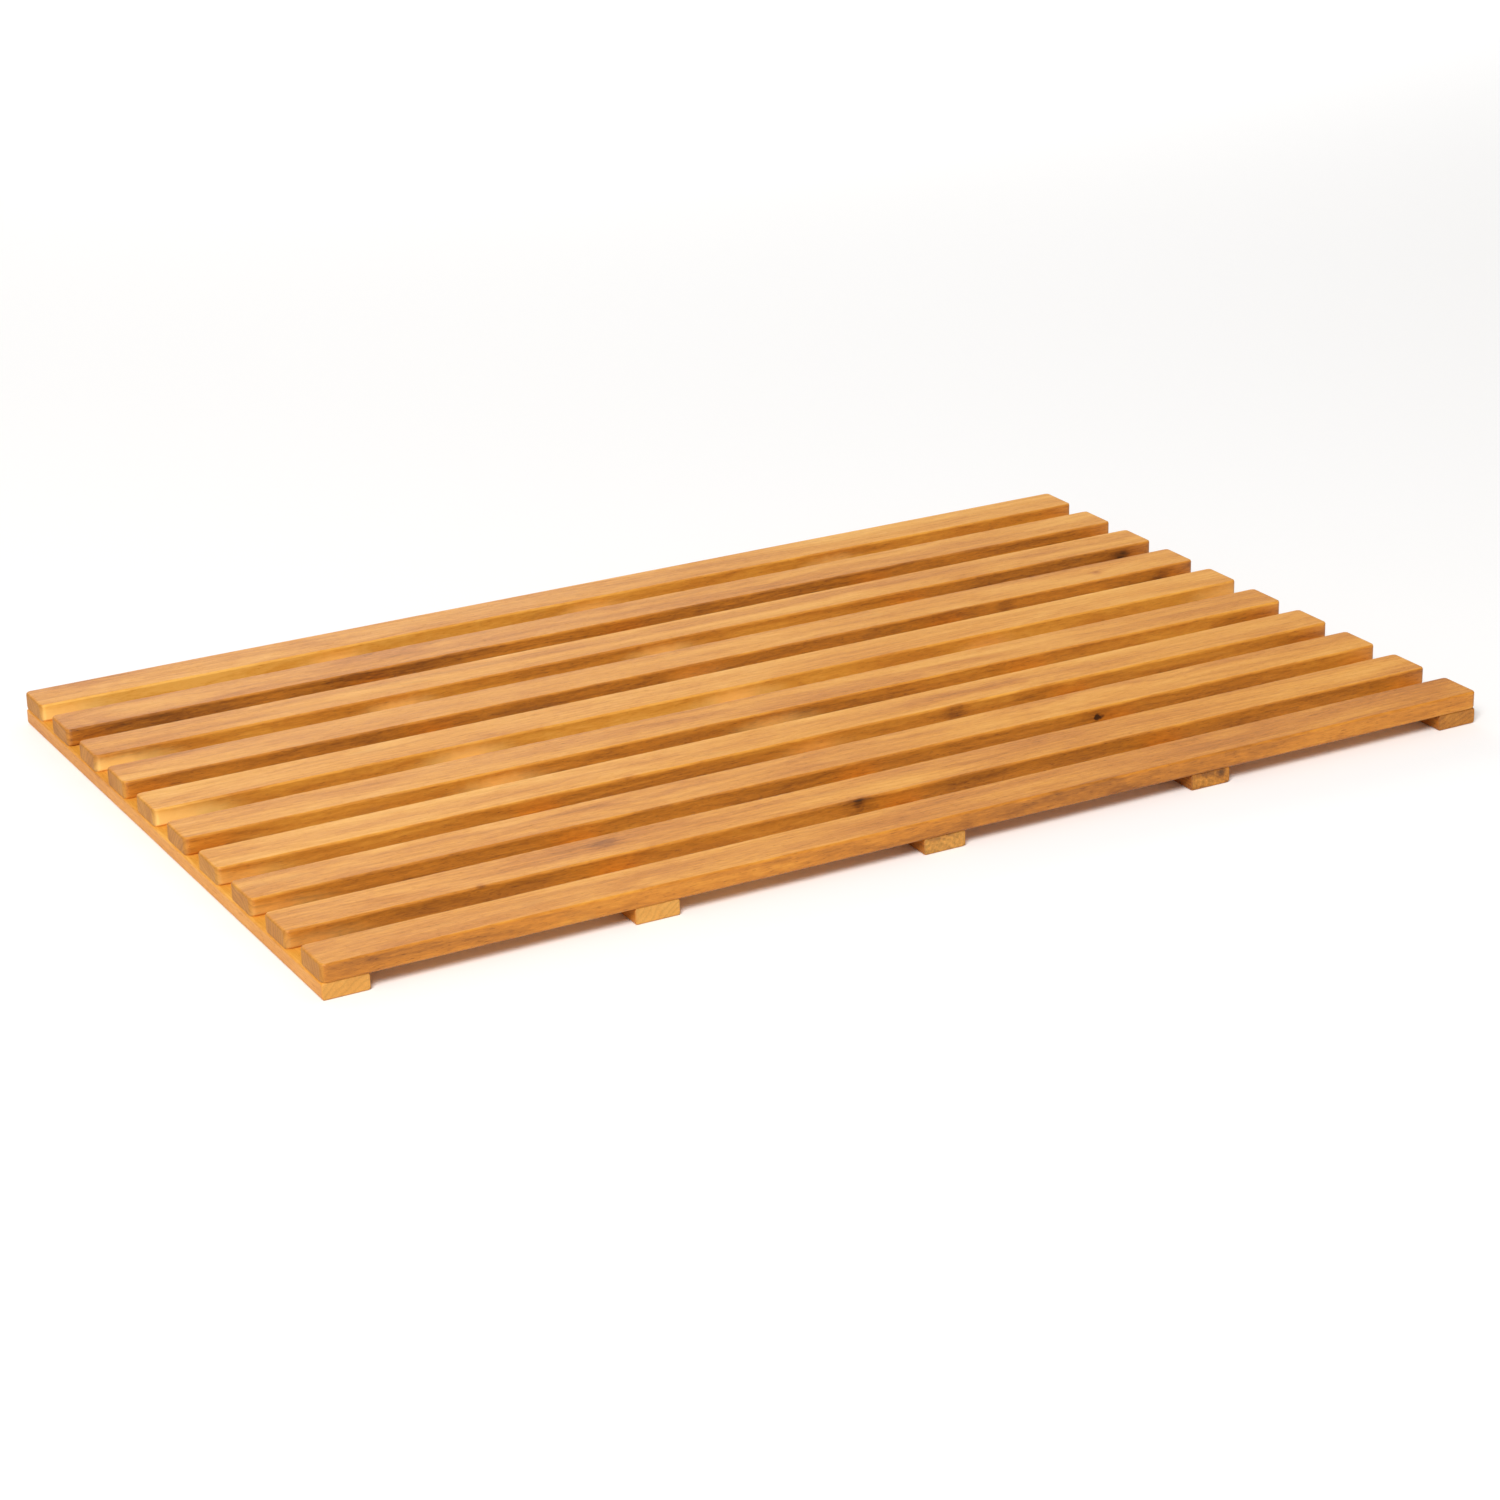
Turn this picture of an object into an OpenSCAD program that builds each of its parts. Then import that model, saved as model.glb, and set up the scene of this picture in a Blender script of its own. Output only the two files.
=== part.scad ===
// Slatted wooden bath mat (duckboard).
// Long slats lie side by side on cross battens, with open gaps for the water to drain through.
// Countersunk screws driven from below hold every slat to every batten.
// Frame: +X along the slats, +Y across them, +Z up, origin on the floor under the middle of the mat.

/* [Mat] */
// Length of the mat, along the slats
mat_length = 800; // [500:10:1000]
// Width of the mat, across the slats
mat_width = 500; // [440:5:600]

/* [Slats] */
// Number of slats
slat_count = 10; // [8:1:11]
// Width of a slat
slat_width = 32; // [28:1:36]
// Thickness of a slat
slat_thickness = 11.5; // [10:0.5:20]
// Radius of a slat's four long edges
slat_edge_radius = 1.2; // [0.5:0.1:4]
// Radius of a slat's upright corners, at its ends
slat_corner_radius = 4; // [0.5:0.1:6]
// Radius of the edges around a slat's end faces, top and bottom
slat_end_radius = 1.5; // [0.2:0.1:3]

/* [Battens] */
// Number of battens
batten_count = 5; // [3:1:7]
// Width of a batten
batten_width = 29; // [24:1:40]
// Height of a batten
batten_height = 10.5; // [8:0.5:16]
// How far each batten end stops short of the mat's edge
batten_inset = 1; // [0:0.5:10]
// Radius of a batten's four long edges
batten_edge_radius = 1.4; // [0.3:0.1:3]
// Radius of a batten's upright corners, at its ends
batten_corner_radius = 0.8; // [0.3:0.1:4]
// Radius of the edges around a batten's end faces, top and bottom
batten_end_radius = 1; // [0.2:0.1:2]

/* [Screws] */
// Outer diameter of the screw thread
screw_diameter = 3.5; // [3:0.5:4]
// Length of a screw, head included
screw_length = 16; // [14:1:18]
// Diameter of a screw head
head_diameter = 7; // [6:0.1:8]
// Height of the straight rim of a screw head
head_rim = 0.3; // [0.2:0.1:0.6]
// Depth of a screw head below the underside of its batten
head_recess = 0.4; // [0.2:0.1:1]
// Length of a screw's pointed tip
tip_length = 4; // [2:0.5:6]

/* [Hidden] */
$fn = 48;
epsilon = 1;

// Clearance on the radius: round a screw head, in a batten hole and in a slat hole
head_clearance = 0.1;
batten_hole_clearance = 0.25;
slat_hole_clearance = 0.05;
// Depth of a slat hole beyond the screw's point
slat_hole_spare = 0.5;

// Cross recess in a screw head: length, width and depth of its two slots
recess_length = 3.6;
recess_width = 0.9;
recess_depth = 1.5;

slat_gap = (mat_width - slat_count * slat_width) / (slat_count - 1);
slat_pitch = slat_width + slat_gap;
batten_pitch = (mat_length - batten_width) / (batten_count - 1);
batten_length = mat_width - 2 * batten_inset;
screw_radius = screw_diameter / 2;
head_radius = head_diameter / 2;

slat_honey = [0.86, 0.62, 0.37];
slat_golden = [0.83, 0.57, 0.31];
batten_orange = [0.88, 0.63, 0.33];
screw_grey = [0.72, 0.72, 0.70];

// Slat 1 is at the back and batten 1 is at the left
function slat_y(i) = (mat_width - slat_width) / 2 - (i - 1) * slat_pitch;
function batten_x(j) = -(mat_length - batten_width) / 2 + (j - 1) * batten_pitch;

slat_names = [for (i = [1 : slat_count]) str("slat_", i < 10 ? "0" : "", i)];
batten_names = [for (j = [1 : batten_count]) str("batten_", j)];
screw_names = [for (j = [1 : batten_count]) str("screws_", j)];

// Rectangle centred on the origin, with round corners
module rounded_rectangle(width, height, radius) {
    square([width - 2 * radius, height], center = true);
    square([width, height - 2 * radius], center = true);
    for (x = [-1, 1], y = [-1, 1])
        translate([x * (width / 2 - radius), y * (height / 2 - radius)])
            circle(radius);
}

// Bar along X, standing on z = 0, with its long edges, upright corners and end edges rounded
module bar(length, width, height, edge_radius, corner_radius, end_radius) {
    translate([0, 0, height / 2])
        intersection() {
            rotate([90, 0, 90])
                linear_extrude(length + epsilon, center = true)
                    rounded_rectangle(width, height, edge_radius);
            linear_extrude(height + epsilon, center = true)
                rounded_rectangle(length, width, corner_radius);
            rotate([90, 0, 0])
                linear_extrude(width + epsilon, center = true)
                    rounded_rectangle(length, height, end_radius);
        }
}

// Hole for one screw in a batten, countersunk from below
module batten_hole() {
    head = head_radius + head_clearance;
    shank = screw_radius + batten_hole_clearance;
    seat = head_recess + head_rim;
    rotate_extrude()
        polygon([
            [0, -epsilon], [head, -epsilon], [head, seat], [shank, seat + head - shank],
            [shank, batten_height + epsilon], [0, batten_height + epsilon]
        ]);
}

// Blind hole for one screw in the underside of a slat
module slat_hole() {
    top = head_recess + screw_length + slat_hole_spare;
    translate([0, 0, batten_height - epsilon])
        cylinder(h = top - batten_height + epsilon, r = screw_radius + slat_hole_clearance);
}

// Countersunk wood screw with its head down, as it sits in the mat
module screw() {
    translate([0, 0, head_recess])
        difference() {
            rotate_extrude()
                polygon([
                    [0, 0], [head_radius, 0], [head_radius, head_rim],
                    [screw_radius, head_rim + head_radius - screw_radius],
                    [screw_radius, screw_length - tip_length], [0, screw_length]
                ]);
            for (turn = [0, 90])
                rotate(turn)
                    translate([-recess_length / 2, -recess_width / 2, -epsilon])
                        cube([recess_length, recess_width, recess_depth + epsilon]);
        }
}

// Slat i, with a screw hole over every batten
module slat(i) {
    color(i % 2 == 0 ? slat_golden : slat_honey)
        difference() {
            translate([0, slat_y(i), batten_height])
                bar(mat_length, slat_width, slat_thickness,
                    slat_edge_radius, slat_corner_radius, slat_end_radius);
            for (j = [1 : batten_count])
                translate([batten_x(j), slat_y(i), 0])
                    slat_hole();
        }
}

// Batten j, with a screw hole under every slat
module batten(j) {
    color(batten_orange)
        difference() {
            translate([batten_x(j), 0, 0])
                rotate(90)
                    bar(batten_length, batten_width, batten_height,
                        batten_edge_radius, batten_corner_radius, batten_end_radius);
            for (i = [1 : slat_count])
                translate([batten_x(j), slat_y(i), 0])
                    batten_hole();
        }
}

// The row of screws in batten j, one for each slat
module screws(j) {
    color(screw_grey)
        for (i = [1 : slat_count])
            translate([batten_x(j), slat_y(i), 0])
                screw();
}

for (i = [1 : slat_count])
    slat(i);
for (j = [1 : batten_count])
    batten(j);
for (j = [1 : batten_count])
    screws(j);
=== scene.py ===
"""Looks of the slatted wooden bath mat: oiled hardwood slats on battens, with zinc plated screws below.

Lengths are in metres. A bar, whether slat or batten, is built in its own directions:
u along the bar, v across it and w up, with its middle at u = v = 0 and its underside at w = 0.
"""
from math import atan, ceil, cos, pi, radians, sin, sqrt

import bmesh
import bpy
from mathutils import Matrix, Quaternion, Vector, noise


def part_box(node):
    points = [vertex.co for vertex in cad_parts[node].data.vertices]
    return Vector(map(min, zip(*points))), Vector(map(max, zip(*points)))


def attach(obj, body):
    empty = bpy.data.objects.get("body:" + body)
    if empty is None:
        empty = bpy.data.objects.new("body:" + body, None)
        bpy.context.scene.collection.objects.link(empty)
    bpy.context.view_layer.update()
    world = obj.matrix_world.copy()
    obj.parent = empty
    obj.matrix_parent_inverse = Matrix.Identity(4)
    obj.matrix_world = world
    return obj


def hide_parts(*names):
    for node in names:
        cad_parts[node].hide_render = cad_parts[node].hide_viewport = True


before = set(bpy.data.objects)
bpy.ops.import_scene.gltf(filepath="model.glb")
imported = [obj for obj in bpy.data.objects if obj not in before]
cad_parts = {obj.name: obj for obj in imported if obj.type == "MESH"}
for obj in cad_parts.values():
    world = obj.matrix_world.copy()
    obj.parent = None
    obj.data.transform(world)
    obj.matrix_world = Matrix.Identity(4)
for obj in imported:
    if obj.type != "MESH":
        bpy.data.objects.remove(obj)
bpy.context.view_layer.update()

MM = 0.001
SLATS = sorted(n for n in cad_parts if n.startswith("slat_"))
BATTENS = sorted(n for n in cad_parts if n.startswith("batten_"))
SCREWS = sorted(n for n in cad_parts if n.startswith("screws_"))

# Rounding of a bar: its long edges, the upright corners at its ends and its end edges
SLAT_ROUNDING = (1.2 * MM, 4.0 * MM, 1.5 * MM)
BATTEN_ROUNDING = (1.4 * MM, 0.8 * MM, 1.0 * MM)

# Screws and their holes
SCREW_RADIUS, SCREW_LENGTH, TIP_LENGTH = 1.75 * MM, 16 * MM, 4 * MM
HEAD_RADIUS, HEAD_RIM, HEAD_RECESS = 3.5 * MM, 0.3 * MM, 0.4 * MM
SLAT_HOLE_RADIUS, BATTEN_HOLE_RADIUS, SINK_RADIUS = 1.8 * MM, 2.0 * MM, 3.6 * MM

# Reference view: the camera's direction and roll, what it aims at and from how far, and its lens
AZIMUTH, ELEVATION, ROLL = radians(-28.51), radians(21.51), radians(-1.24)
TARGET, DISTANCE = Vector((-0.0195, -0.0443, 0)), 2.3485
LENS_MM, SENSOR_MM = 88.3, 36


def middle(node):
    """Centre of a CAD node's box."""
    low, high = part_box(node)
    return (low + high) / 2


# ------------------------------------------------------------------ wooden bars

ACROSS, UP, TURN = 14, 6, 3  # steps of the flats of a cross section, and of half a round corner
RIM = 0.35 * MM  # width of the first and last step of a flat, which keeps its shading flat
END_STEPS = 6  # steps along the rounding of a bar's end
REACH = 2  # faces that a hole opens on each side of its middle
HOLE_SIDES = 8 * REACH
STEP, HOLE_STEP = 5 * MM, 2.2 * MM  # the longest step along a bar, and the steps past a hole

# Wood that sanding takes off the faces and the long edges, and depth of the roughness of the ends
FACE_SANDING, EDGE_SANDING, END_RELIEF = 0.10 * MM, 0.35 * MM, 0.12 * MM


def section(width, height, radius):
    """Cross section of a bar as (v, w, outward v, outward w), anticlockwise from the middle of its
    lower left corner: underside, right side, top and left side."""
    flat = Vector((width / 2 - radius, height / 2 - radius))
    corners = [Vector((v * flat.x, w * flat.y)) for v, w in ((-1, -1), (1, -1), (1, 1), (-1, 1))]
    points = []
    for side in range(4):
        start, end = corners[side], corners[(side + 1) % 4]
        steps, length = (UP if side % 2 else ACROSS), (end - start).length
        out = (side - 1) * pi / 2
        points += [(start, out + (k / TURN - 1) * pi / 4) for k in range(TURN)]
        for k in range(steps):
            along = RIM + (k - 1) / (steps - 2) * (length - 2 * RIM) if k else 0
            points.append((start.lerp(end, along / length), out))
        points += [(end, out + k / TURN * pi / 4) for k in range(TURN)]
    return [(p.x + radius * cos(a), p.y + radius * sin(a) + height / 2, cos(a), sin(a))
            for p, a in points]


def stations(length, round_length, holes):
    """Places of the cross sections along a bar: close together round the ends and the holes."""
    curve = [round_length * (1 - cos(k / END_STEPS * pi / 2)) for k in range(END_STEPS + 1)]
    fixed = [s - length / 2 for s in curve]
    for hole in sorted(holes):
        fixed += [hole + k * HOLE_STEP for k in range(-REACH, REACH + 1)]
    fixed += [length / 2 - s for s in reversed(curve)]
    places = fixed[:1]
    for a, b in zip(fixed, fixed[1:]):
        parts = ceil((b - a) / STEP)
        places += [a + (b - a) * (k + 1) / parts for k in range(parts)]
    return places


def set_back(gap, radius):
    """How far a rounded end edge stands back from the side, at a gap from the end face."""
    return radius - sqrt(radius ** 2 - (radius - gap) ** 2) if gap < radius else 0


class Bar:
    """The mesh of one bar, as rows of vertices round its cross sections. outward is the way, across and
    up, that the surface faces at a vertex, and open are the faces that the holes leave out."""

    def __init__(self, size, rounding, holes):
        edge, corner, end = rounding
        self.size, self.mesh, self.outward = size, bmesh.new(), {}
        self.places = stations(size.x, max(corner, end), holes)
        self.rows = []
        for u in self.places:
            gap = size.x / 2 - abs(u)
            narrower, lower = set_back(gap, corner), set_back(gap, end)
            outline = section(size.y - 2 * narrower, size.z - 2 * lower, edge)
            self.rows.append([self.vertex((u, v, w + lower), out) for v, w, *out in outline])
        self.open = set()

    def vertex(self, place, outward=None):
        vertex = self.mesh.verts.new(place)
        if outward:
            self.outward[vertex] = outward
        return vertex

    def border(self, place, top):
        """Opens a square of faces round a place on the underside or top. Returns the vertices round
        it, anticlockwise seen from above, from the corner at +u and -v."""
        row = min(range(len(self.places)), key=lambda k: abs(self.places[k] - place))
        column = TURN + ACROSS // 2 + (4 * TURN + ACROSS + UP if top else 0)
        reach = range(-REACH, REACH)
        self.open |= {(row + a, column + b) for a in reach for b in reach}
        steps = [(REACH, b) for b in reach] + [(-a, REACH) for a in reach]
        steps += [(-a, -b) for a, b in steps]
        flip = -1 if top else 1
        return [self.rows[row + a][column + flip * b] for a, b in steps]

    def hole(self, place, profile, through):
        """Screw hole up from the underside. Its profile is (radius, height) pairs."""
        angles = [(k - REACH) * 2 * pi / HOLE_SIDES for k in range(HOLE_SIDES)]
        rings = [self.border(place, top=False)]
        for radius, height in profile:
            outward = {0: (0, -1), self.size.z: (0, 1)}.get(height)
            rings.append([self.vertex((place + radius * cos(a), radius * sin(a), height), outward)
                          for a in angles])
        if through:
            rings.append(self.border(place, top=True))
        for low, high in zip(rings, rings[1:]):
            for k in range(HOLE_SIDES):
                self.mesh.faces.new((low[k - 1], low[k], high[k], high[k - 1]))
        if not through:
            radius, height = profile[-1]
            tip = self.vertex((place, 0, height + radius / 2))
            for k in range(HOLE_SIDES):
                self.mesh.faces.new((rings[-1][k - 1], rings[-1][k], tip))

    def skin(self):
        """Faces between neighbouring cross sections, except where a hole opens them."""
        count = len(self.rows[0])
        for k, (a, b) in enumerate(zip(self.rows, self.rows[1:])):
            for i in range(count):
                if (k, i) not in self.open:
                    j = (i + 1) % count
                    self.mesh.faces.new((a[i], a[j], b[j], b[i]))

    def sand(self, seed, bearing):
        """Takes wood off, a little on the faces and more on the long edges, in waves of 6 and 14 cm as
        sanding by hand does. The bearing face, -1 for the underside or 1 for the top, stays flat."""
        for vertex, (out_v, out_w) in self.outward.items():
            if out_w * bearing < 0.95:
                p = vertex.co
                wave = noise.noise(Vector((p.x * 16, p.y * 60 + seed, p.z * 60)))
                slow = noise.noise(Vector((p.x * 7 + seed, out_v * 1.5, out_w * 1.5)))
                edge = min(1, 2 * abs(out_v * out_w))
                depth = FACE_SANDING * (0.5 + 0.5 * wave) + EDGE_SANDING * edge * (0.5 + 0.9 * slow)
                depth = max(0, depth)
                p.y -= out_v * depth
                p.z -= out_w * depth

    def cap(self, row, seed):
        """End face, as a grid between the four sides of the last cross section, slightly rough."""
        wide, tall = 2 * TURN + ACROSS, 2 * TURN + UP
        low, right = row[:wide + 1], row[wide:wide + tall + 1]
        high = row[wide + tall:2 * wide + tall + 1][::-1]
        left = (row[2 * wide + tall:] + row[:1])[::-1]
        grid = {(i, 0): low[i] for i in range(wide + 1)} | {(i, tall): high[i] for i in range(wide + 1)}
        grid |= {(0, j): left[j] for j in range(tall + 1)} | {(wide, j): right[j] for j in range(tall + 1)}
        inward = 1 if row[0].co.x < 0 else -1
        for i in range(1, wide):
            for j in range(1, tall):
                s = (low[i].co.y - low[0].co.y) / (low[wide].co.y - low[0].co.y)
                t = (left[j].co.z - left[0].co.z) / (left[tall].co.z - left[0].co.z)
                p = low[i].co.lerp(high[i].co, t) + left[j].co.lerp(right[j].co, s)
                p -= low[0].co.lerp(low[wide].co, s).lerp(high[0].co.lerp(high[wide].co, s), t)
                rough = 0.5 + 0.5 * noise.noise(Vector((seed, p.y * 700, p.z * 700)))
                p.x += inward * END_RELIEF * rough
                grid[i, j] = self.vertex(p)
        for i in range(wide):
            for j in range(tall):
                self.mesh.faces.new((grid[i, j], grid[i + 1, j], grid[i + 1, j + 1], grid[i, j + 1]))

    def finish(self, name):
        """The bar as a mesh, without the vertices that the holes left over."""
        loose = [v for v in self.mesh.verts if not v.link_faces]
        bmesh.ops.delete(self.mesh, geom=loose, context="VERTS")
        bmesh.ops.recalc_face_normals(self.mesh, faces=self.mesh.faces)
        mesh = bpy.data.meshes.new(name)
        self.mesh.to_mesh(mesh)
        self.mesh.free()
        shade_smooth(mesh)
        return mesh


def shade_smooth(mesh):
    """Shades a mesh smooth except at its sharp edges."""
    mesh.polygons.foreach_set("use_smooth", [True] * len(mesh.polygons))
    mesh.set_sharp_from_angle(angle=radians(40))


def show(name, mesh, material, node):
    """Puts a mesh in the scene in place of a CAD node."""
    mesh.materials.append(material)
    piece = bpy.data.objects.new(name, mesh)
    bpy.context.scene.collection.objects.link(piece)
    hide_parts(node)
    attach(piece, "root")


def make_bar(node, rounding, holes, profile, through, bearing, along_y, seed):
    """Mesh of a slat or batten, in place, with a hole at each of the places along it."""
    low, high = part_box(node)
    size = high - low
    if along_y:
        size = Vector((size.y, size.x, size.z))
    bar = Bar(size, rounding, holes)
    for place in holes:
        bar.hole(place, profile, through)
    bar.skin()
    bar.sand(seed, bearing)
    for row in (bar.rows[0], bar.rows[-1]):
        bar.cap(row, seed)
    mesh = bar.finish(node + "_wood")
    centre = middle(node)
    turn = Matrix.Rotation(pi / 2 if along_y else 0, 4, "Z")
    mesh.transform(Matrix.Translation((centre.x, centre.y, low.z)) @ turn)
    return mesh


def make_slat(node, material, seed):
    top = HEAD_RECESS + SCREW_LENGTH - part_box(node)[0].z
    profile = [(SLAT_HOLE_RADIUS, 0), (SLAT_HOLE_RADIUS, top)]
    holes = [middle(s).x for s in SCREWS]
    mesh = make_bar(node, SLAT_ROUNDING, holes, profile, through=False, bearing=-1, along_y=False, seed=seed)
    show(node + "_wood", mesh, material, node)


def make_batten(node, material, seed):
    seat = HEAD_RECESS + HEAD_RIM
    throat = seat + SINK_RADIUS - BATTEN_HOLE_RADIUS
    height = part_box(node)[1].z
    profile = [(SINK_RADIUS, 0), (SINK_RADIUS, seat),
               (BATTEN_HOLE_RADIUS, throat), (BATTEN_HOLE_RADIUS, height)]
    holes = [middle(s).y for s in SLATS]
    mesh = make_bar(node, BATTEN_ROUNDING, holes, profile, through=True, bearing=1, along_y=True, seed=seed)
    show(node + "_wood", mesh, material, node)


# ------------------------------------------------------------------ screws

# Cross recess: length of an arm, half its width, its depth and the bevel round its mouth
ARM, HALF_SLOT, RECESS_DEPTH, MOUTH_BEVEL = 1.8 * MM, 0.45 * MM, 1.6 * MM, 0.05 * MM
# Head and neck: width and height of the bevel round the head, and fillet between head and shank
HEAD_BEVEL, HEAD_BEVEL_HEIGHT, NECK_FILLET = 0.12 * MM, 0.1 * MM, 0.3 * MM
# Thread: core, pitch, where it starts, the length over which it grows, and half a ridge's share of the pitch
CORE_RADIUS, THREAD_PITCH, THREAD_START = 1.15 * MM, 1.6 * MM, 4.2 * MM
THREAD_RUN_IN, HALF_RIDGE, THREAD_STEPS = 1.5 * MM, 0.28, 64
POINT_LENGTH = 0.1 * MM


def screw_angles():
    """Angles of the vertices round a screw: they fall on the corners of its cross recess."""
    corner = atan(HALF_SLOT / ARM)
    quarter = [0, corner, radians(30), radians(45), radians(60), pi / 2 - corner]
    return [q * pi / 2 + a for q in range(4) for a in quarter]


def cross_radius(angle, arm, half_slot):
    """Distance from the middle to the outline of the cross recess."""
    a = angle % (pi / 2)
    a = min(a, pi / 2 - a)
    return arm / cos(a) if a <= atan(half_slot / arm) + 1e-6 else half_slot / sin(a)


def thread_radius(angle, along):
    """Radius of the threaded shank, running down to a point at the tip."""
    turn = (along / THREAD_PITCH - angle / (2 * pi)) % 1
    ridge = max(0, 1 - abs(turn - 0.5) / HALF_RIDGE)
    taper = min(1, (SCREW_LENGTH - along) / TIP_LENGTH)
    grown = max(0, min(taper, (along - THREAD_START) / THREAD_RUN_IN))
    return CORE_RADIUS * taper + (SCREW_RADIUS - CORE_RADIUS) * ridge * grown


def screw_rings():
    """Rings of (radius for each angle, height), from the bottom of the recess over the head to the tip."""
    angles = screw_angles()
    bottom = [cross_radius(a, 0.55 * ARM, 0.6 * HALF_SLOT) for a in angles]
    mouth = [cross_radius(a, ARM, HALF_SLOT) for a in angles]
    rings = [(bottom, RECESS_DEPTH), (mouth, MOUTH_BEVEL), ([r + MOUTH_BEVEL for r in mouth], 0)]
    neck = HEAD_RIM + HEAD_RADIUS - CORE_RADIUS - NECK_FILLET
    head = [(HEAD_RADIUS - HEAD_BEVEL, 0), (HEAD_RADIUS, HEAD_BEVEL_HEIGHT), (HEAD_RADIUS, HEAD_RIM),
            (CORE_RADIUS + NECK_FILLET, neck), (CORE_RADIUS, neck + 2 * NECK_FILLET)]
    rings += [([radius] * len(angles), height) for radius, height in head]
    thread_length = SCREW_LENGTH - POINT_LENGTH - THREAD_START
    for k in range(THREAD_STEPS):
        along = THREAD_START + thread_length * k / (THREAD_STEPS - 1)
        rings.append(([thread_radius(a, along) for a in angles], along))
    return angles, rings


def make_screws(node, material, seed):
    """The row of screws in one batten, each turned by chance as it was driven."""
    angles, rings = screw_rings()
    mesh = bmesh.new()
    x = middle(node).x
    for number, slat in enumerate(SLATS):
        y = middle(slat).y
        twist = noise.cell(Vector((seed * 7.3, number * 3.1, 0.5))) * 2 * pi
        lines = []
        for radii, height in rings:
            z = HEAD_RECESS + height
            lines.append([mesh.verts.new((x + r * cos(a + twist), y + r * sin(a + twist), z))
                          for a, r in zip(angles, radii)])
        for a, b in zip(lines, lines[1:]):
            for k in range(len(angles)):
                mesh.faces.new((a[k - 1], a[k], b[k], b[k - 1]))
        mesh.faces.new(lines[0])
        point = mesh.verts.new((x, y, HEAD_RECESS + SCREW_LENGTH))
        for k in range(len(angles)):
            mesh.faces.new((lines[-1][k - 1], lines[-1][k], point))
    bmesh.ops.recalc_face_normals(mesh, faces=mesh.faces)
    done = bpy.data.meshes.new(node + "_steel")
    mesh.to_mesh(done)
    mesh.free()
    shade_smooth(done)
    show(node + "_steel", done, material, node)


# ------------------------------------------------------------------ materials

class Nodes:
    """Short ways to make and join the nodes of one material."""

    def __init__(self, name):
        self.material = bpy.data.materials.new(name)
        self.material.use_nodes = True
        self.tree = self.material.node_tree
        self.shader = self.tree.nodes["Principled BSDF"]

    def link(self, value, socket):
        if isinstance(value, bpy.types.NodeSocket):
            self.tree.links.new(value, socket)
        else:
            socket.default_value = value

    def make(self, kind, inputs, output=0, **settings):
        node = self.tree.nodes.new("ShaderNode" + kind)
        for key, value in settings.items():
            setattr(node, key, value)
        for key, value in inputs.items():
            self.link(value, node.inputs[key])
        return node.outputs[output]

    def math(self, operation, *values):
        return self.make("Math", dict(enumerate(values)), operation=operation)

    def add(self, *values):
        total = values[0]
        for value in values[1:]:
            total = self.math("ADD", total, value)
        return total

    def times(self, a, b):
        return self.math("MULTIPLY", a, b)

    def vector(self, operation, *values, output=0):
        return self.make("VectorMath", dict(enumerate(values)), output, operation=operation)

    def noise(self, vector, scale, detail, roughness=0.5, distortion=0.0):
        return self.make("TexNoise", {"Vector": vector, "Scale": scale, "Detail": detail,
                                      "Roughness": roughness, "Distortion": distortion})

    def signed(self, value):
        """A noise value moved to run from about -0.5 to 0.5."""
        return self.math("SUBTRACT", value, 0.5)

    def signed_vector(self, value):
        """A noise colour moved to run from about -0.5 to 0.5 each way."""
        return self.vector("SUBTRACT", value, (0.5, 0.5, 0.5))

    def fade(self, value, start, end, low=0.0, high=1.0):
        """Smooth step of a value from start to end."""
        return self.make("MapRange", {"Value": value, "From Min": start, "From Max": end,
                                      "To Min": low, "To Max": high}, interpolation_type="SMOOTHSTEP")

    def ramp(self, value, *stops):
        node = self.tree.nodes.new("ShaderNodeValToRGB")
        elements = node.color_ramp.elements
        while len(elements) < len(stops):
            elements.new(0.5)
        for element, (place, colour) in zip(elements, stops):
            element.position, element.color = place, (*colour, 1)
        self.link(value, node.inputs[0])
        return node.outputs[0]

    def mix(self, factor, a, b, blend="MIX"):
        """Mix of two colours. They are inputs 6 and 7 of the node, and the result is its output 2."""
        node = self.tree.nodes.new("ShaderNodeMix")
        node.data_type, node.blend_type = "RGBA", blend
        for socket, value in ((node.inputs[0], factor), (node.inputs[6], a), (node.inputs[7], b)):
            self.link(value if isinstance(value, (bpy.types.NodeSocket, float, int)) else (*value, 1), socket)
        return node.outputs[2]


# Colours of the wood, from its palest sapwood to its darkest heartwood
PALE, HONEY, TAN = (0.86, 0.45, 0.085), (0.73, 0.315, 0.037), (0.57, 0.205, 0.020)
BROWN, DARK, GREY_BROWN = (0.28, 0.090, 0.011), (0.05, 0.020, 0.007), (0.38, 0.175, 0.045)
CREAM = (0.98, 0.64, 0.20)  # where light is thrown back on the wood
END_GRAIN, BATTEN_END_GRAIN = (0.57, 0.226, 0.030), (0.60, 0.305, 0.075)
RING_WIDTH = 3.4 * MM


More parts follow.
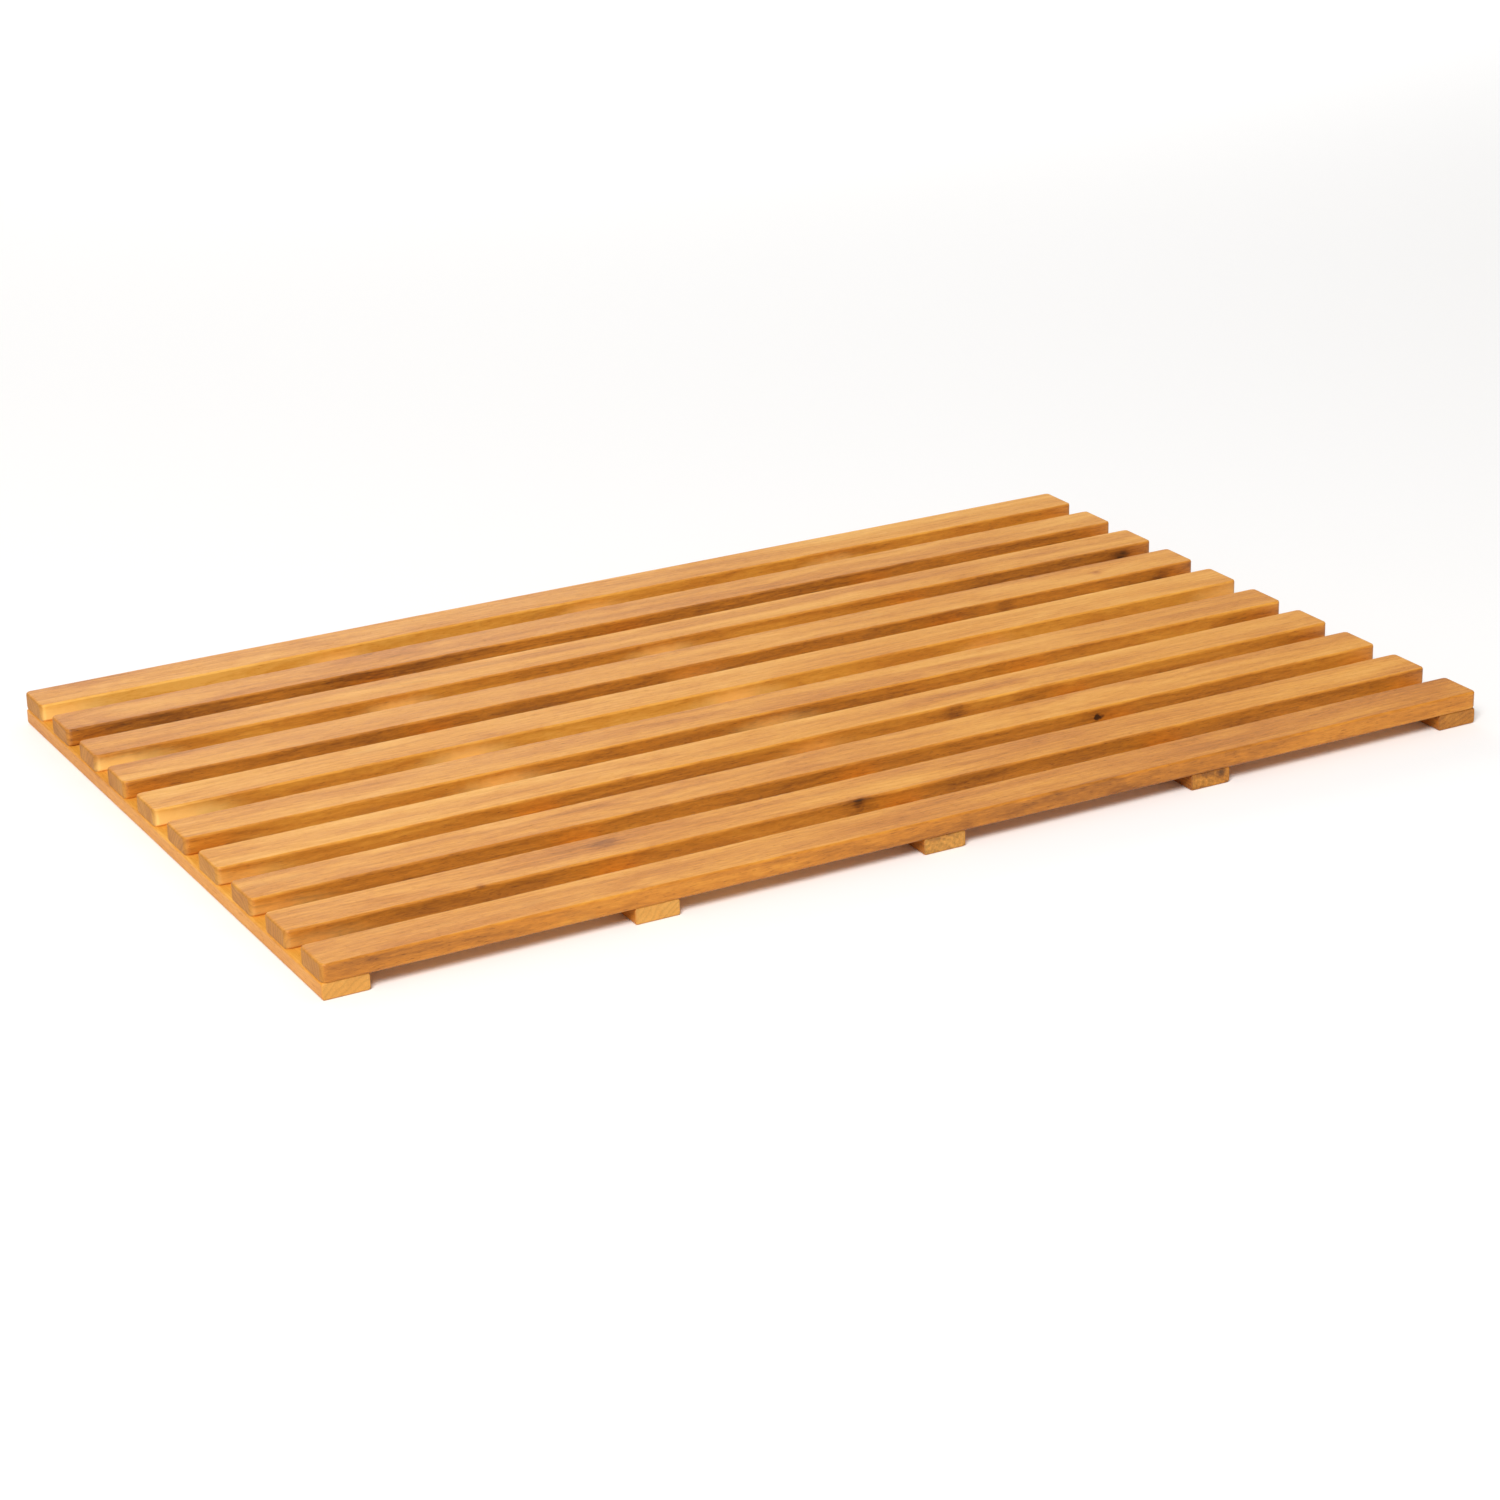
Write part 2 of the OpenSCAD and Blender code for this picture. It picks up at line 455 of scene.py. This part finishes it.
def wood(name, node, seed, tones, front, pith, end, end_grain=END_GRAIN, along_y=False, figure=1.0, marks=()):
    """Oiled hardwood, solid through the bar: growth rings round a pith line beside the bar, slow bands of
    colour, fine fibres and pores along the grain, marks such as knots and stains, painted light on the
    front sides over the battens, long edges paler in patches, partly from wear and partly as a painted
    highlight, and duller end grain.

    tones are those of the bar's two ends, from 0, pale, to 1, dark: left and right on a slat, back and
    front on a batten. front is what is added to them on the side that shows, which is a slat's front
    and a batten's left: partly the wood's own tone and partly painted shade. pith is in millimetres
    across and up from the bar's middle, and figure is the strength of the bands. end is how far the end
    grain has its own colour, end_grain, then its brightness, then how torn it looks. A mark is (along,
    across, up, its half sizes the same way, strength, softness), in millimetres from the middle. Where
    its strength is negative, it is painted light: the wood turns paler there, towards CREAM."""
    n = Nodes(name)
    centre = middle(node)
    from_middle = n.vector("SUBTRACT", n.make("TexCoord", {}, "Object"), tuple(centre))
    bar = n.make("Mapping", {"Vector": from_middle, "Rotation": (0, 0, pi / 2 if along_y else 0)})
    lean = (radians(0.4), radians(0.25 * sin(seed)), radians(0.9 * sin(2.3 * seed)))
    grain = n.make("Mapping", {"Vector": bar, "Rotation": lean})
    shifted = n.vector("ADD", grain, (seed * 3.17, seed * 0.73, seed * 1.91))

    def field(along, across, detail=2.0, distortion=0.0):
        """Noise stretched along the grain, from -0.5 to 0.5. The sizes of its features are in millimetres."""
        scaled = n.vector("MULTIPLY", shifted, (1000 / along, 1000 / across, 1000 / across))
        return n.signed(n.noise(scaled, 1, detail, 0.55, distortion))

    # Growth rings, with a dark line of late wood in each and a colour of its own
    wander = n.times(field(160, 40), 16 * MM)
    ripple = n.times(field(45, 9), 2.2 * MM)
    from_pith = n.vector("SUBTRACT", grain, (0, pith[0] * MM, pith[1] * MM))
    distance = n.vector("LENGTH", n.vector("MULTIPLY", from_pith, (0, 1, 1)), output=1)
    ring = n.math("DIVIDE", n.add(distance, wander, ripple), RING_WIDTH)
    late = n.math("FRACT", ring)
    line = n.math("SUBTRACT", n.fade(late, 0.35, 0.92), n.fade(late, 0.92, 1.0))
    spread = n.make("CombineXYZ", {0: n.times(ring, 0.31), 1: float(seed)})
    band = n.signed(n.noise(spread, 1, 3, 0.6))

    # Uneven colour along the grain, from broad patches down to fibres and pores
    patch = field(230, 30)
    blotch = field(95, 16, 3, 1.2)
    fleck = field(8, 1.3, 3)
    streak = field(45, 1.5, 3)
    fibre = field(14, 0.28, 2)
    pores = n.fade(field(4.5, 0.22, 0), 0.17, 0.26)
    shade = n.add(n.times(band, 0.8 * figure), n.times(line, 0.06 * figure), n.times(blotch, 0.5 * figure),
                  n.times(patch, 0.6 * figure), n.times(fleck, 0.36), n.times(streak, 0.10),
                  n.times(fibre, 0.22), n.times(pores, 0.2))
    grey = n.fade(field(90, 14, 3, 1.0), 0.10, 0.34, 0.0, 0.28 * figure)

    # Tone of the bar, of the side that shows, which is partly painted shade, and of the worn long
    # edges, which is partly a painted highlight
    low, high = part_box(node)
    size = high - low
    half_length, half_width, half_height = max(size.x, size.y) / 2, min(size.x, size.y) / 2, size.z / 2
    along, across, up = (n.make("SeparateXYZ", {"Vector": bar}, k) for k in range(3))
    tone, side_tone_and_painted_shade = (n.fade(along, -half_length, half_length, *pair) for pair in (tones, front))
    in_front = n.fade(across, 1.5 * MM - half_width, 0.3 * MM - half_width)
    # painted shade: the side that shows is darkened by side_tone_and_painted_shade
    shade = n.add(shade, tone, n.times(side_tone_and_painted_shade, in_front))
    side_gap = n.math("SUBTRACT", half_width, n.math("ABSOLUTE", across))
    face_gap = n.math("SUBTRACT", half_height, n.math("ABSOLUTE", up))
    # long edges paler on average, in patches: partly wear, partly a painted highlight
    worn_edge_and_highlight = n.fade(n.math("MAXIMUM", side_gap, face_gap), 2.2 * MM, 0.6 * MM)
    shade = n.add(shade, n.times(worn_edge_and_highlight, n.add(n.times(field(50, 30), 0.4), -0.03)))

    # Marks, with ragged outlines: darker where the strength is positive, painted light where it is negative
    scatter = n.signed_vector(n.make("TexNoise", {"Vector": shifted, "Scale": 160.0}, "Color"))
    soft_place = n.vector("ADD", bar, n.vector("MULTIPLY", scatter, (9 * MM, 3 * MM, 3 * MM)))
    # pale gathers the painted light of the marks of negative strength
    pale = 0.0
    for mark in marks:
        place, half, strength, softness = mark[0:3], mark[3:6], mark[6], mark[7]
        offset = n.vector("SUBTRACT", soft_place, tuple(p * MM for p in place))
        far = n.vector("LENGTH", n.vector("MULTIPLY", offset, tuple(1 / (h * MM) for h in half)), output=1)
        amount = n.fade(far, 1 + softness, 1 - softness, 0.0, abs(strength))
        if strength > 0:
            shade = n.add(shade, amount)
        else:
            pale = n.add(pale, amount)

    # Colour, with the end grain where the surface faces along the bar
    colour = n.ramp(shade, (0.0, PALE), (0.27, HONEY), (0.5, TAN), (0.78, BROWN), (1.0, DARK))
    colour = n.mix(grey, colour, GREY_BROWN)
    # painted light: the wood turns towards CREAM where the marks of negative strength lie
    colour = n.mix(pale, colour, CREAM)
    facing = n.make("SeparateXYZ", {"Vector": n.make("TexCoord", {}, "Normal")}, 1 if along_y else 0)
    at_end = n.fade(n.math("ABSOLUTE", facing), 0.3, 0.9)
    own_colour, brightness, tearing = end
    speckle = n.noise(shifted, 1500, 3, 0.7)
    torn = n.signed(n.noise(shifted, 420, 3, 0.6))
    end_shade = n.add(n.times(line, -0.10), n.times(band, -0.35), n.times(speckle, -0.5),
                      n.times(torn, -tearing), brightness + 0.22)
    end_colour = n.mix(1.0, n.mix(own_colour, colour, end_grain), end_shade, "MULTIPLY")
    colour = n.mix(at_end, colour, end_colour)
    n.link(colour, n.shader.inputs["Base Color"])

    # Oil finish: satin, duller in the pores and on the end grain
    n.shader.inputs["Specular IOR Level"].default_value = 0.35
    rough = n.add(n.times(streak, 0.12), n.times(pores, 0.15), n.times(blotch, 0.10),
                  n.times(at_end, 0.14), 0.46)
    n.link(rough, n.shader.inputs["Roughness"])
    height = n.add(n.times(fibre, 0.5), n.times(streak, 0.5), n.times(pores, -0.9), n.times(line, 0.25),
                   n.times(n.times(speckle, at_end), 1.2))
    bump = n.make("Bump", {"Height": height, "Strength": 0.35, "Distance": 0.12 * MM})
    n.link(bump, n.shader.inputs["Normal"])
    return n.material


def steel(name):
    """Zinc plated steel, slightly dulled."""
    n = Nodes(name)
    place = n.make("TexCoord", {}, "Object")
    cloud = n.noise(place, 900, 3)
    n.link(n.ramp(cloud, (0.3, (0.52, 0.51, 0.47)), (0.7, (0.74, 0.73, 0.69))), n.shader.inputs["Base Color"])
    n.link(n.fade(cloud, 0.2, 0.8, 0.28, 0.48), n.shader.inputs["Roughness"])
    n.shader.inputs["Metallic"].default_value = 1.0
    return n.material


# ------------------------------------------------------------------ the mat

SLAT_SIDE = -16  # across from a slat's middle to its front side, in millimetres


def glow(batten, half_length, half_height, strength, up=-4, softness=0.9):
    """Mark for the light that a batten, by its number, throws up on the front side of a slat."""
    along = middle(BATTENS[batten - 1]).x / MM
    return along, SLAT_SIDE, up, half_length, 4, half_height, -strength, softness


# Knots, stains and a thin dark line, as wood() takes them, and painted light over the battens
MARKS = {
    "slat_01": [glow(1, 30, 6, 0.8, softness=0.8), glow(2, 20, 5, 0.6), glow(3, 20, 5, 0.5),
                glow(4, 18, 5, 0.5)],
    "slat_02": [(-155, 5, 6, 12, 6, 6, 0.14, 0.9), (-200, SLAT_SIDE, 0, 60, 3, 9, 0.12, 0.9),
                (-350, -15, 5, 25, 2, 3, 0.12, 0.8)],
    "slat_03": [(375, SLAT_SIDE, 0, 16, 5, 5, 0.12, 0.9), (374, SLAT_SIDE, 0, 7, 3, 2.5, 0.24, 0.8),
                glow(1, 30, 6, 0.9, softness=0.8), glow(2, 20, 5, 0.6), glow(3, 22, 5, 0.6)],
    "slat_04": [(326, -3, 6, 5, 3, 4, 0.28, 0.8), (242, SLAT_SIDE, 0, 6, 3, 4, 0.14, 0.8),
                (372, SLAT_SIDE, -2, 6, 3, 4, 0.25, 0.8), glow(3, 20, 5, 0.15)],
    "slat_05": [glow(1, 30, 7, 0.9, softness=0.8), glow(2, 24, 6, 0.7), glow(3, 26, 6, 0.6),
                glow(4, 18, 5, 0.3), glow(5, 22, 6, 0.4, up=-3)],
    "slat_06": [(-68, 4, 6, 18, 4, 4, 0.14, 0.9), glow(2, 24, 5, 0.55), glow(3, 24, 5, 0.5)],
    "slat_07": [(104, SLAT_SIDE, 1, 8, 3, 5, 0.22, 0.8), (-130, -14, 6, 4, 2, 3, 0.18, 0.8),
                glow(1, 26, 5, 0.35), glow(3, 20, 5, 0.25)],
    "slat_08": [(178, SLAT_SIDE, 0, 9, 4, 4, 0.12, 0.9), (179, SLAT_SIDE, -1, 2.5, 2, 2, 0.6, 0.6),
                glow(1, 26, 5, 0.3)],
    "slat_09": [(-190, 4, 6, 9, 5, 4, 0.2, 0.8), (-279, -15, 6, 3, 2, 2, 0.25, 0.9),
                (-28, SLAT_SIDE, 2, 8, 4, 7, 0.15, 0.9), (-28, SLAT_SIDE, 3, 2.5, 2.5, 4, 0.20, 0.9),
                # the mark at -90 is a thin dark line along the top of the back side, from 165 to 15 mm left
                # of the middle
                (-245, -4, 6, 45, 3, 4, 0.12, 0.9), (-90, 16, 5.5, 75, 1.2, 1.5, 0.6, 0.5),
                glow(1, 26, 5, 0.3)],
    "batten_3": [(249, -6, 4, 3, 5, 2, 0.5, 0.8), (249, 4, 5, 3, 3, 1.5, 0.5, 0.8)],
    "batten_4": [(249, 8, 3, 3, 3, 3, 0.5, 0.8), (249, -4, 4, 3, 6, 2, 0.4, 0.8)],
}
# Each slat, from the back to the front: tone at its left and right end, and what its front side adds to
# them, which is partly painted shade
SLAT_TONES = ((0.29, 0.22, -0.23, 0.22), (0.46, 0.25, 0.18, 0.24), (0.34, 0.22, 0.08, 0.25),
              (0.35, 0.31, 0.26, 0.29), (0.24, 0.18, -0.01, 0.13), (0.33, 0.27, 0.11, 0.23),
              (0.17, 0.29, 0.29, 0.13), (0.36, 0.30, 0.17, 0.23), (0.34, 0.31, 0.17, 0.24),
              (0.33, 0.46, 0.24, 0.04))
SLAT_END = (0.6, 0.84, 0.0)
# Each batten, from left to right: its tone, what its left side adds to it, which is painted shade, then
# its end grain, as wood() takes it
BATTEN_TONES = ((0.26, 0.10, 0.6, 1.07, 0.1), (0.15, 0.35, 0.6, 1.02, 0.1), (0.26, 0.35, 0.5, 0.85, 1.0),
                (0.46, 0.3, 0.1, 0.80, 1.1), (0.50, 0.2, 0.1, 0.80, 0.3))
SLAT_SEED, BATTEN_SEED = 1, 21  # of the first slat and the first batten, so that no two bars are alike

for number, (node, (left, right, *front)) in enumerate(zip(SLATS, SLAT_TONES)):
    seed = SLAT_SEED + number
    pith = (70 * sin(2.1 * number + 0.7), -35 - 25 * sin(1.3 * number))
    oiled = wood(node + "_oiled", node, seed, (left, right), front, pith, SLAT_END,
                 marks=MARKS.get(node, ()))
    make_slat(node, oiled, seed)
for number, (node, (tone, side, *end)) in enumerate(zip(BATTENS, BATTEN_TONES)):
    seed = BATTEN_SEED + number
    pith = (40 * sin(1.7 * number + 0.4), -30 - 12 * number)
    oiled = wood(node + "_oiled", node, seed, (tone, tone), (side, side), pith, end, BATTEN_END_GRAIN,
                 along_y=True, figure=0.6, marks=MARKS.get(node, ()))
    make_batten(node, oiled, seed)
zinc = steel("zinc_plated_steel")
for number, node in enumerate(SCREWS):
    make_screws(node, zinc, number + 1)

# ------------------------------------------------------------------ floor, light and camera

HALF_FLOOR, FLOOR_DROP = 12, 0.1 * MM
floor_mesh = bpy.data.meshes.new("floor")
corners = [(x * HALF_FLOOR, y * HALF_FLOOR, -FLOOR_DROP) for x, y in ((-1, -1), (1, -1), (1, 1), (-1, 1))]
floor_mesh.from_pydata(corners, [], [(0, 1, 2, 3)])
floor_paint = Nodes("floor_paint")
floor_paint.shader.inputs["Base Color"].default_value = (0.96, 0.96, 0.96, 1)
floor_paint.shader.inputs["Roughness"].default_value = 0.9
floor_paint.shader.inputs["Specular IOR Level"].default_value = 0.2
floor_mesh.materials.append(floor_paint.material)
floor = bpy.data.objects.new("floor", floor_mesh)
bpy.context.scene.collection.objects.link(floor)


def softbox(name, place, aim, width, height, power, colour):
    """Soft rectangular studio light at a place, aimed at a point."""
    light = bpy.data.lights.new(name, "AREA")
    light.shape, light.size, light.size_y = "RECTANGLE", width, height
    light.energy, light.color = power, colour
    lamp = bpy.data.objects.new(name, light)
    lamp.location = place
    lamp.rotation_mode = "QUATERNION"
    lamp.rotation_quaternion = (Vector(aim) - Vector(place)).to_track_quat("-Z", "Y")
    bpy.context.scene.collection.objects.link(lamp)


softbox("key", (-3.4, -3.8, 5.4), (0, 0, 0), 3.0, 3.0, 540, (1.0, 0.98, 0.96))
softbox("sheen", (0.6, 4.5, 1.7), (0, 0, 0), 3.0, 1.0, 26, (1.0, 0.99, 0.97))
softbox("wash", (1.9, 2.8, 1.3), (1.9, 2.8, 0), 3.0, 2.0, 20, (1.0, 1.0, 1.0))

world = bpy.data.worlds.new("studio")
world.use_nodes = True
world.node_tree.nodes["Background"].inputs["Color"].default_value = (1, 1, 1, 1)
world.node_tree.nodes["Background"].inputs["Strength"].default_value = 0.35
bpy.context.scene.world = world
bpy.context.scene.view_settings.view_transform = "Standard"

back = Vector((sin(AZIMUTH) * cos(ELEVATION), -cos(AZIMUTH) * cos(ELEVATION), sin(ELEVATION)))
camera_data = bpy.data.cameras.new("camera")
camera_data.lens, camera_data.sensor_width = LENS_MM, SENSOR_MM
camera = bpy.data.objects.new("camera", camera_data)
camera.location = TARGET + back * DISTANCE
camera.rotation_mode = "QUATERNION"
camera.rotation_quaternion = (-back).to_track_quat("-Z", "Y") @ Quaternion((0, 0, 1), ROLL)
bpy.context.scene.collection.objects.link(camera)
bpy.context.scene.camera = camera
